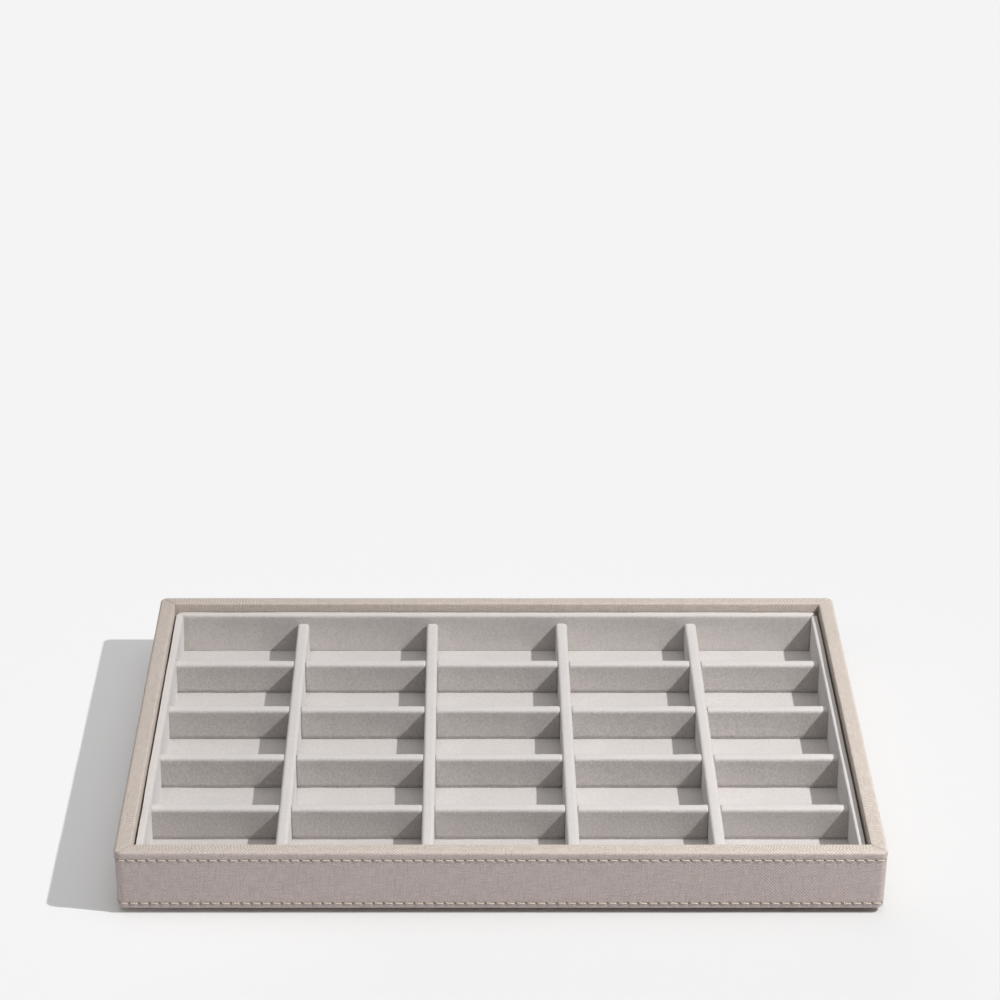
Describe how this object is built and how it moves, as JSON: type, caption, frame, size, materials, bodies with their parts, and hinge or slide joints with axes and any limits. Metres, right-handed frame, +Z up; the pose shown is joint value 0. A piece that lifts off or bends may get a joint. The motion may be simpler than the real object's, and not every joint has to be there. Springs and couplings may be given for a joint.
{
  "type": "stackable jewelry tray",
  "caption": "Low rectangular jewelry tray: leather-wrapped box, stitched rim and edge, velvet-lined grid of small compartments, and a foot that drops into the rim below.",
  "frame": {"origin": "middle of the footprint, on the surface that the tray stands on", "axes": "+X along the length, +Y from the front to the back, +Z up"},
  "size_m": [0.25, 0.18, 0.0232],
  "materials": {
    "leatherette": "taupe, embossed with a fine cross-hatched grain, satin",
    "velvet": "pale grey short-pile velvet",
    "foot_velvet": "grey short-pile velvet, a shade darker",
    "fibreboard": "raw fibreboard, sawn and eased",
    "card": "raw grey board"
  },
  "bodies": {
    "root": {"base_board": "fibreboard", "cross_divider_board_1": "card", "cross_divider_board_2": "card", "cross_divider_board_3": "card", "cross_divider_board_4": "card", "cross_divider_velvet_1": "velvet", "cross_divider_velvet_2": "velvet", "cross_divider_velvet_3": "velvet", "cross_divider_velvet_4": "velvet", "floor_card": "card", "floor_velvet": "velvet", "foot_board": "fibreboard", "foot_velvet": "foot_velvet", "leather_wrap": "leatherette", "lining_board_back": "card", "lining_board_front": "card", "lining_board_left": "card", "lining_board_right": "card", "lining_velvet_back": "velvet", "lining_velvet_front": "velvet", "lining_velvet_left": "velvet", "lining_velvet_right": "velvet", "long_divider_board_1": "card", "long_divider_board_2": "card", "long_divider_board_3": "card", "long_divider_board_4": "card", "long_divider_velvet_1": "velvet", "long_divider_velvet_2": "velvet", "long_divider_velvet_3": "velvet", "long_divider_velvet_4": "velvet", "wall_board_back": "fibreboard", "wall_board_front": "fibreboard", "wall_board_left": "fibreboard", "wall_board_right": "fibreboard"}
  },
  "joints": []
}
